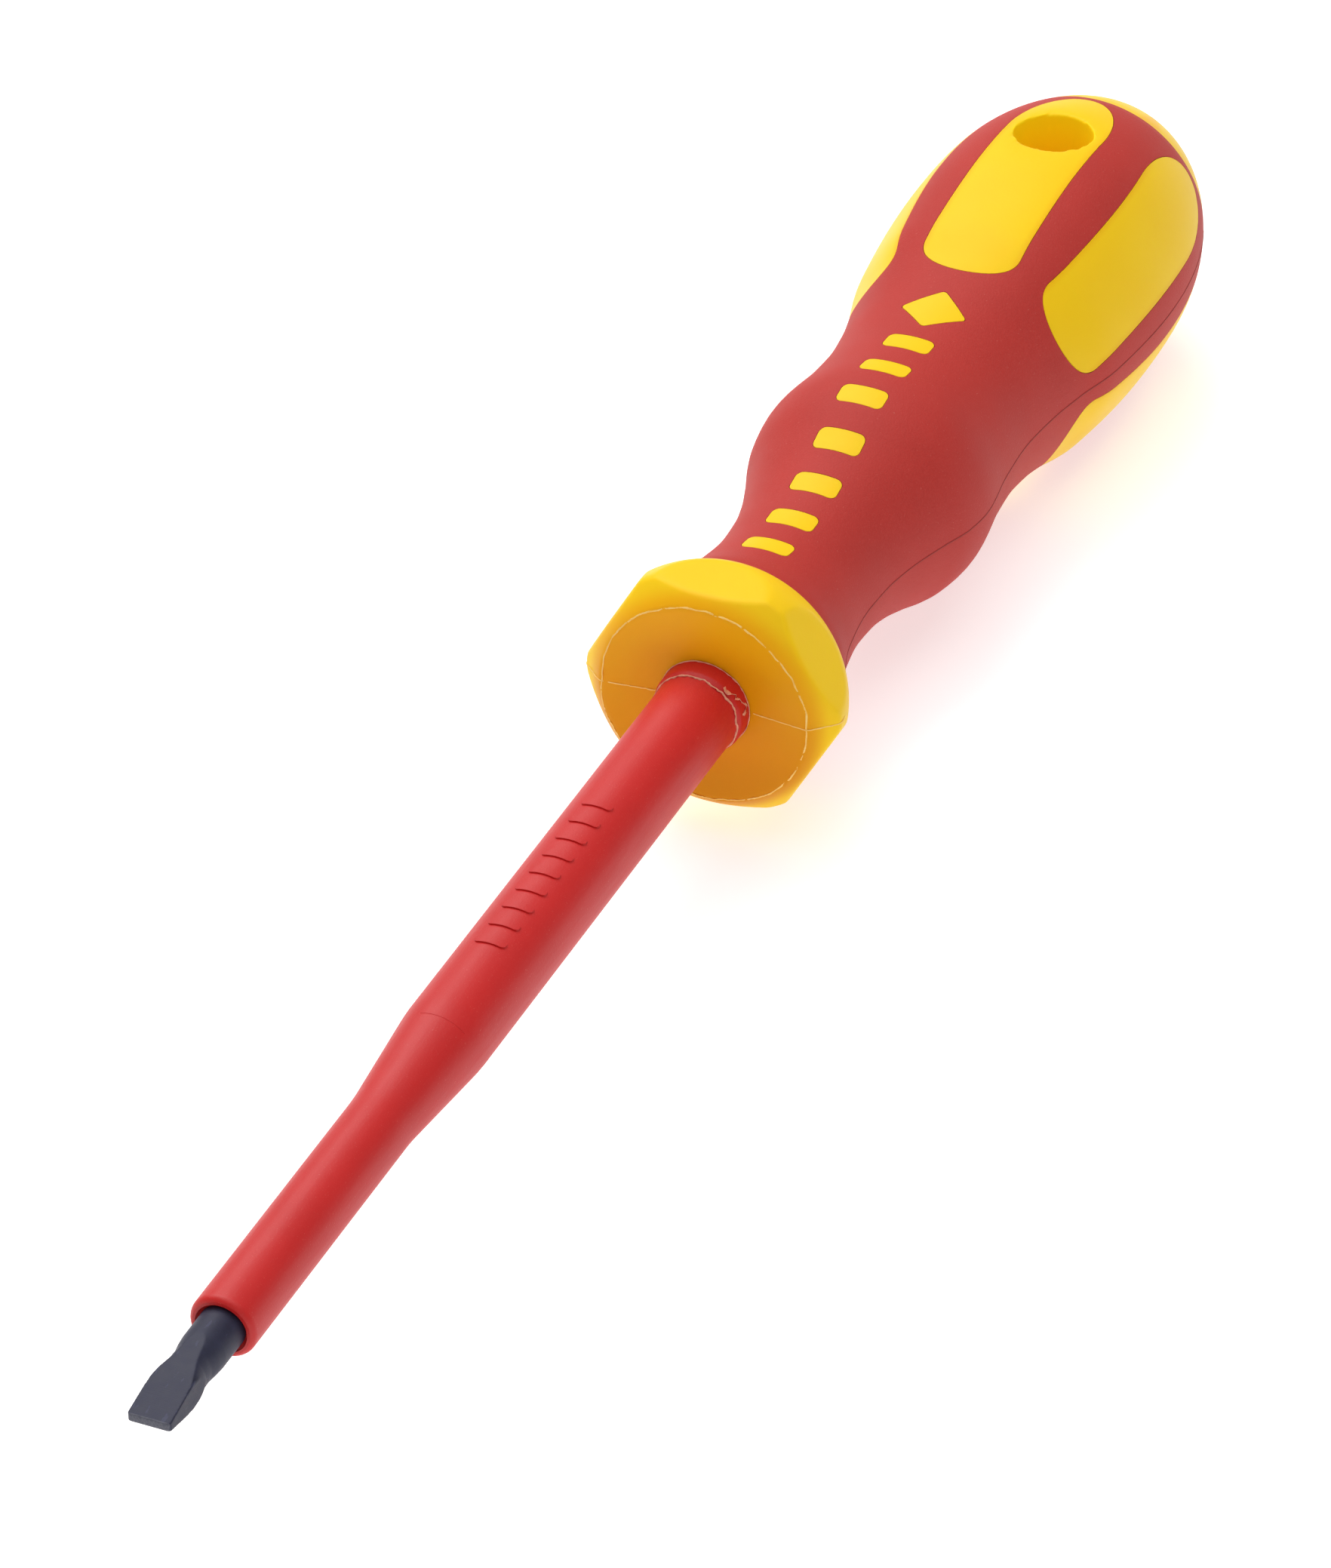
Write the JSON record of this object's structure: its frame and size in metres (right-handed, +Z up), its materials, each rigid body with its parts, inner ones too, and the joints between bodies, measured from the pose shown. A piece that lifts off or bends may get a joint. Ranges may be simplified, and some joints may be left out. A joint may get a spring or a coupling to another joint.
{
  "type": "insulated slotted screwdriver",
  "caption": "Insulated slotted screwdriver with a stepped blade sleeve, six-sided guard, soft grip with inset windows and a hang hole through the bulb.",
  "frame": {"origin": "on the surface that the handle's bulb lies on, below the middle of the tool's overall length", "axes": "+X along the tool's axis towards the tip, +Z up out of the hang hole's upper mouth, +Y across the tip's width"},
  "size_m": [0.1938, 0.0266, 0.0257],
  "materials": {
    "blade_steel": "black oxide, ground at the tip",
    "sleeve_insulation": "satin moulded insulation",
    "core_polymer": "as moulded, hidden",
    "body_polymer": "semi-gloss moulded",
    "grip_elastomer": "fine matt texture"
  },
  "bodies": {
    "root": {"blade": "blade_steel", "blade_sleeve": "sleeve_insulation", "anchor_core": "core_polymer", "handle_body": "body_polymer", "soft_grip": "grip_elastomer"}
  },
  "joints": []
}
